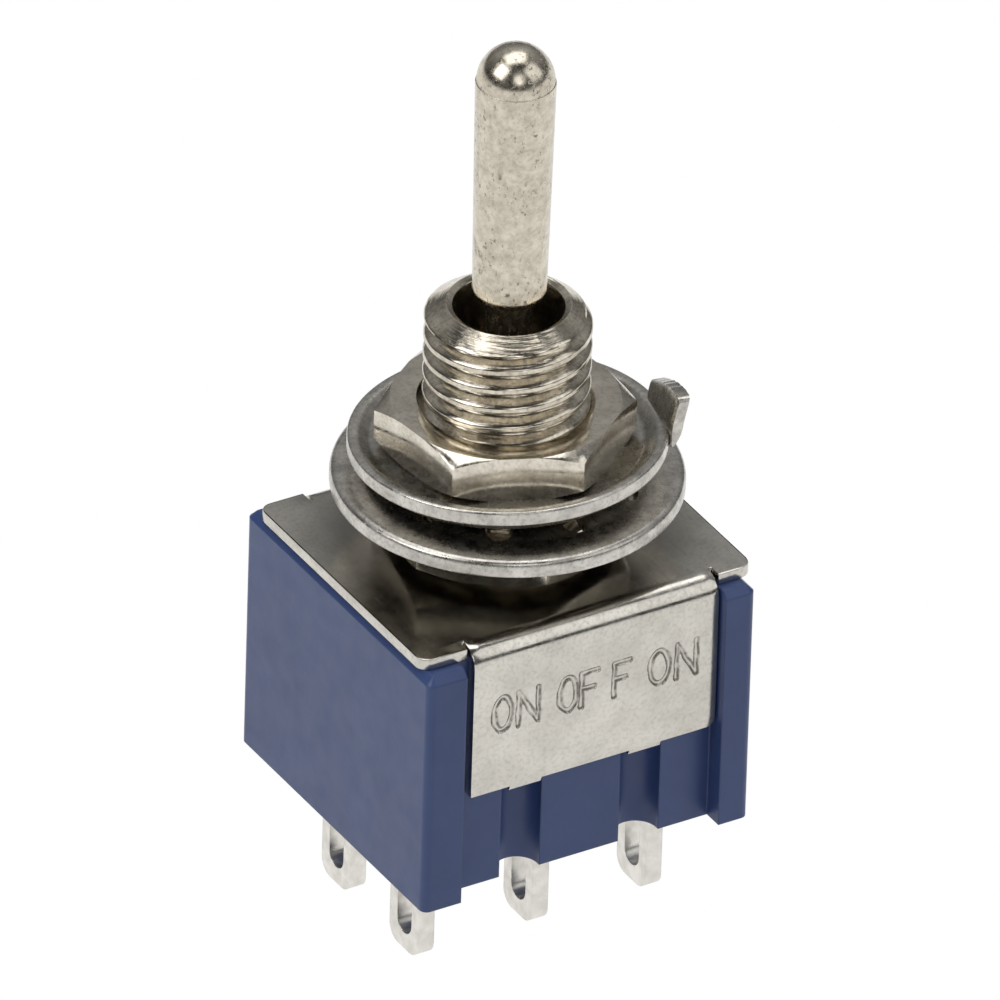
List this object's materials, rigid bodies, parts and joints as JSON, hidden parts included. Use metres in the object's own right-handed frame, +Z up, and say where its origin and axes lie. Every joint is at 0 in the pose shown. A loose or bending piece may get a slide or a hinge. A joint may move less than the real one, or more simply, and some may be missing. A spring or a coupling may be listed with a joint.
{
  "type": "panel toggle switch",
  "caption": "Miniature panel toggle switch: bat lever on a threaded bushing with nuts and washers, folded metal cover, blue case and solder lugs.",
  "frame": {"origin": "on the bushing's axis at the top face of the cover plate", "axes": "+X along a row of terminals and the way the lever is thrown, -Y towards the skirt that carries the ON and OFF marks, +Z up along the lever"},
  "size_m": [0.0136, 0.013, 0.0349],
  "materials": {
    "case_plastic": "moulded, slightly glossy",
    "plated_sheet": "bright nickel with fine scratches",
    "plated_brass": "bright nickel over turned metal",
    "plated_lever": "satin nickel, finely pitted",
    "plated_steel": "stamped and plated",
    "tinned_brass": "dull tin",
    "contact_strip": "plain strip",
    "plunger_brass": "turned",
    "silver": "satin",
    "spring_steel": "drawn wire",
    "white_nylon": "moulded"
  },
  "bodies": {
    "base": {"housing": "case_plastic", "cover_plate": "plated_sheet", "bushing": "plated_brass", "fixed_contacts": "silver", "lower_nut": "plated_brass", "lock_washer": "plated_steel", "locating_washer": "plated_steel", "upper_nut": "plated_brass", "terminal_front_left": "tinned_brass", "terminal_front_center": "tinned_brass", "terminal_front_right": "tinned_brass", "terminal_rear_left": "tinned_brass", "terminal_rear_center": "tinned_brass", "terminal_rear_right": "tinned_brass"},
    "lever": {"lever": "plated_lever", "actuator": "white_nylon", "spring_front": "spring_steel", "spring_rear": "spring_steel"},
    "plunger_front": {"plunger_front": "plunger_brass"},
    "plunger_rear": {"plunger_rear": "plunger_brass"},
    "rocker_front": {"rocker_front": "contact_strip", "moving_contacts_front": "silver"},
    "rocker_rear": {"rocker_rear": "contact_strip", "moving_contacts_rear": "silver"}
  },
  "joints": [
    {"name": "lever_tilt", "type": "hinge", "parent": "base", "child": "lever", "pos_m": [0, 0, 0.005], "axis": [0, 1, 0], "range_deg": [-12, 12]},
    {"name": "rocker_front_tilt", "type": "hinge", "parent": "base", "child": "rocker_front", "pos_m": [0, -0.0024, -0.00792], "axis": [0, 1, 0], "range_deg": [-4, 4]},
    {"name": "plunger_front_slide", "type": "slide", "parent": "lever", "child": "plunger_front", "axis": [0, 0, 1], "range_m": [0, 0.0003], "stiffness_N_per_m": 300, "springref_m": -0.0015, "deforming": ["spring_front"]},
    {"name": "rocker_rear_tilt", "type": "hinge", "parent": "base", "child": "rocker_rear", "pos_m": [0, 0.0024, -0.00792], "axis": [0, 1, 0], "range_deg": [-4, 4]},
    {"name": "plunger_rear_slide", "type": "slide", "parent": "lever", "child": "plunger_rear", "axis": [0, 0, 1], "range_m": [0, 0.0003], "stiffness_N_per_m": 300, "springref_m": -0.0015, "deforming": ["spring_rear"]}
  ],
  "couplings": [
    {"joint": "rocker_front_tilt", "follows": "lever_tilt", "ratio": -0.3333},
    {"joint": "rocker_rear_tilt", "follows": "lever_tilt", "ratio": -0.3333}
  ]
}
